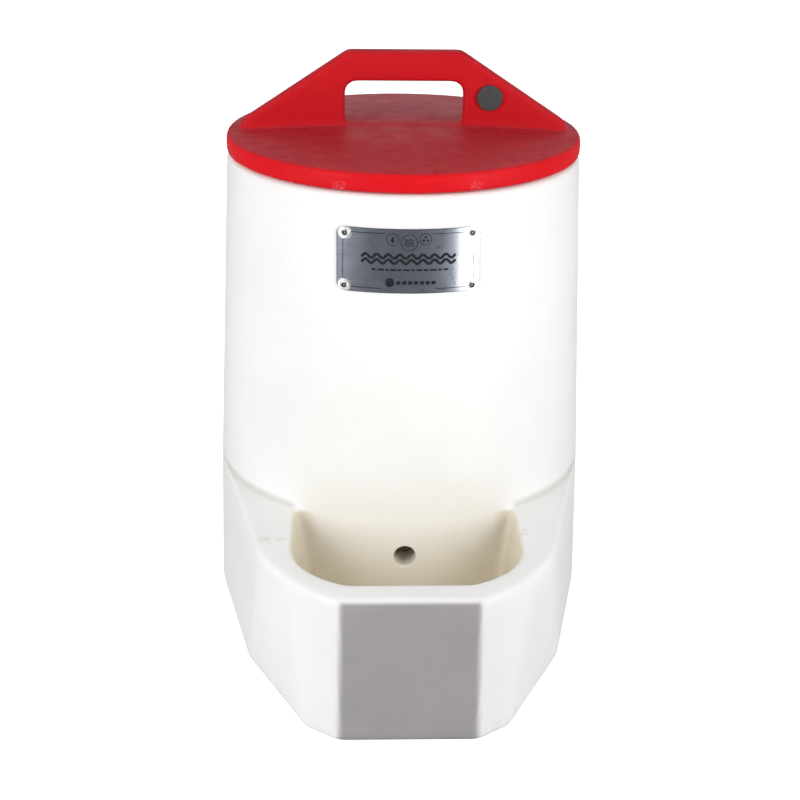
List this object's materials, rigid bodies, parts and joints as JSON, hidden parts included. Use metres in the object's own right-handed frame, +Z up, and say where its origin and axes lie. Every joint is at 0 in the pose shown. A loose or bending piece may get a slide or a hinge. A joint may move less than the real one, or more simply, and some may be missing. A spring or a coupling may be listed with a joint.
{
  "type": "poultry waterer fount",
  "caption": "Foam-insulated poultry water fount: a tapered drum with a drinking trough moulded on its front and a domed, screwed lid with a carrying handle that stores the outlet stopper.",
  "frame": {"origin": "on the tank's axis at floor level, in the plane of the flat base", "axes": "+Z up along the tank's axis, -Y towards the drinking trough, +X to the right of someone facing the trough"},
  "size_m": [0.3198, 0.4438, 0.4738],
  "materials": {
    "white_polyethylene": "satin",
    "white_plug": "matte",
    "white_sleeve": "satin",
    "insulating_foam": "matte",
    "seal_rubber": "matte",
    "brushed_plate": "satin",
    "rivet_aluminium": "satin",
    "mandrel_steel": "matte",
    "red_polyethylene": "satin",
    "red_plug": "matte",
    "stopper_rubber": "matte"
  },
  "bodies": {
    "body": {"body_shell": "white_polyethylene", "body_foam": "insulating_foam", "body_fill_plugs": "white_plug", "outlet_sleeve": "white_sleeve", "outlet_seals": "seal_rubber", "name_plate": "brushed_plate", "rivet_bodies": "rivet_aluminium", "rivet_mandrels": "mandrel_steel"},
    "seal": {"lid_seal": "seal_rubber"},
    "lid": {"lid_shell": "red_polyethylene", "lid_foam": "insulating_foam", "lid_fill_plug": "red_plug"},
    "stopper": {"stopper": "stopper_rubber"}
  },
  "joints": [
    {"name": "lid_rise", "type": "slide", "parent": "body", "child": "seal", "axis": [0, 0, 1], "range_m": [0, 0.06]},
    {"name": "lid_turn", "type": "hinge", "parent": "seal", "child": "lid", "pos_m": [0, 0, 0.3928], "axis": [0, 0, 1], "range_deg": [0, 360]},
    {"name": "stopper_pull", "type": "slide", "parent": "lid", "child": "stopper", "axis": [0, -1, 0], "range_m": [0, 0.03]}
  ],
  "couplings": [
    {"joint": "lid_rise", "follows": "lid_turn", "m_per_rad": 0.0095492}
  ]
}
